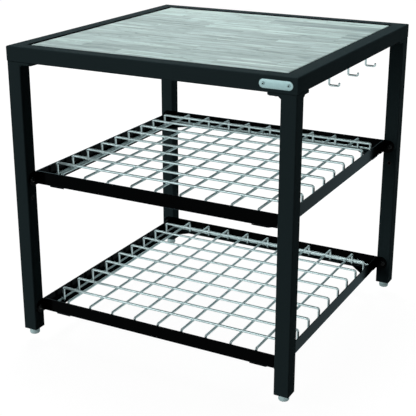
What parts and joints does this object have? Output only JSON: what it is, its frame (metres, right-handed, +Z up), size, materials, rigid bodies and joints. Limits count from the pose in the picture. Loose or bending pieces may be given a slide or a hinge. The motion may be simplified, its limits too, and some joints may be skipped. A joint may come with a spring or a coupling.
{
  "type": "grill table frame",
  "caption": "Square table frame for an outdoor kitchen: black tube legs and rails, loose wooden top, wire-grid shelves in angle-iron frames, tool hooks and levelling feet.",
  "frame": {"origin": "on the floor, under the middle of the table", "axes": "+Z up; +X to the right of someone facing the side with the nameplate, which is towards -Y"},
  "size_m": [0.76, 0.7628, 0.77],
  "materials": {
    "frame_black": "fine textured black powder coat",
    "shelf_black": "smooth glossy black paint",
    "bolt_black": "black oxide",
    "zinc_steel": "zinc plated",
    "wire_steel": "drawn wire, satin",
    "plug_black": "moulded",
    "foot_grey": "turned and satin plated, with fine grooves",
    "wood": "oiled stave board, pale grey",
    "nameplate_metal": "brushed, bare"
  },
  "bodies": {
    "frame": {"top_rail_front": "frame_black", "top_rail_back": "frame_black", "top_rail_left": "frame_black", "top_rail_right": "frame_black", "top_ledges": "frame_black", "leg_front_left": "frame_black", "leg_front_right": "frame_black", "leg_back_left": "frame_black", "leg_back_right": "frame_black", "leg_plate_front_left": "frame_black", "leg_plate_front_right": "frame_black", "leg_plate_back_left": "frame_black", "leg_plate_back_right": "frame_black", "lower_shelf_front_rail": "shelf_black", "lower_shelf_back_rail": "shelf_black", "lower_shelf_left_rail": "shelf_black", "lower_shelf_right_rail": "shelf_black", "lower_shelf_corner_straps": "shelf_black", "upper_shelf_front_rail": "shelf_black", "upper_shelf_back_rail": "shelf_black", "upper_shelf_left_rail": "shelf_black", "upper_shelf_right_rail": "shelf_black", "upper_shelf_corner_straps": "shelf_black", "leg_plate_bolts": "bolt_black", "lower_shelf_bolts": "bolt_black", "upper_shelf_bolts": "bolt_black", "top_rail_nuts": "zinc_steel", "lower_shelf_nuts": "zinc_steel", "upper_shelf_nuts": "zinc_steel", "spare_hole_nuts": "zinc_steel", "tool_hook_nuts": "zinc_steel", "tool_hook_1": "wire_steel", "tool_hook_2": "wire_steel", "tool_hook_3": "wire_steel", "leg_plug_front_left": "plug_black", "leg_plug_front_right": "plug_black", "leg_plug_back_left": "plug_black", "leg_plug_back_right": "plug_black", "nameplate": "nameplate_metal", "nameplate_screws": "nameplate_metal"},
    "wood_top": {"wood_top": "wood"},
    "upper_grid": {"upper_grid_cross_wires": "wire_steel", "upper_grid_long_wires": "wire_steel", "upper_grid_rim": "wire_steel"},
    "lower_grid": {"lower_grid_cross_wires": "wire_steel", "lower_grid_long_wires": "wire_steel", "lower_grid_rim": "wire_steel"},
    "foot_front_left": {"foot_front_left": "foot_grey"},
    "foot_front_right": {"foot_front_right": "foot_grey"},
    "foot_back_left": {"foot_back_left": "foot_grey"},
    "foot_back_right": {"foot_back_right": "foot_grey"}
  },
  "joints": [
    {"name": "wood_top_lift", "type": "slide", "parent": "frame", "child": "wood_top", "axis": [0, 0, 1], "range_m": [0, 0.06]},
    {"name": "upper_grid_lift", "type": "slide", "parent": "frame", "child": "upper_grid", "axis": [0, 0, 1], "range_m": [0, 0.06]},
    {"name": "lower_grid_lift", "type": "slide", "parent": "frame", "child": "lower_grid", "axis": [0, 0, 1], "range_m": [0, 0.06]},
    {"name": "foot_front_left_screw", "type": "slide", "parent": "frame", "child": "foot_front_left", "axis": [0, 0, -1], "range_m": [0, 0.02]},
    {"name": "foot_front_right_screw", "type": "slide", "parent": "frame", "child": "foot_front_right", "axis": [0, 0, -1], "range_m": [0, 0.02]},
    {"name": "foot_back_left_screw", "type": "slide", "parent": "frame", "child": "foot_back_left", "axis": [0, 0, -1], "range_m": [0, 0.02]},
    {"name": "foot_back_right_screw", "type": "slide", "parent": "frame", "child": "foot_back_right", "axis": [0, 0, -1], "range_m": [0, 0.02]}
  ]
}
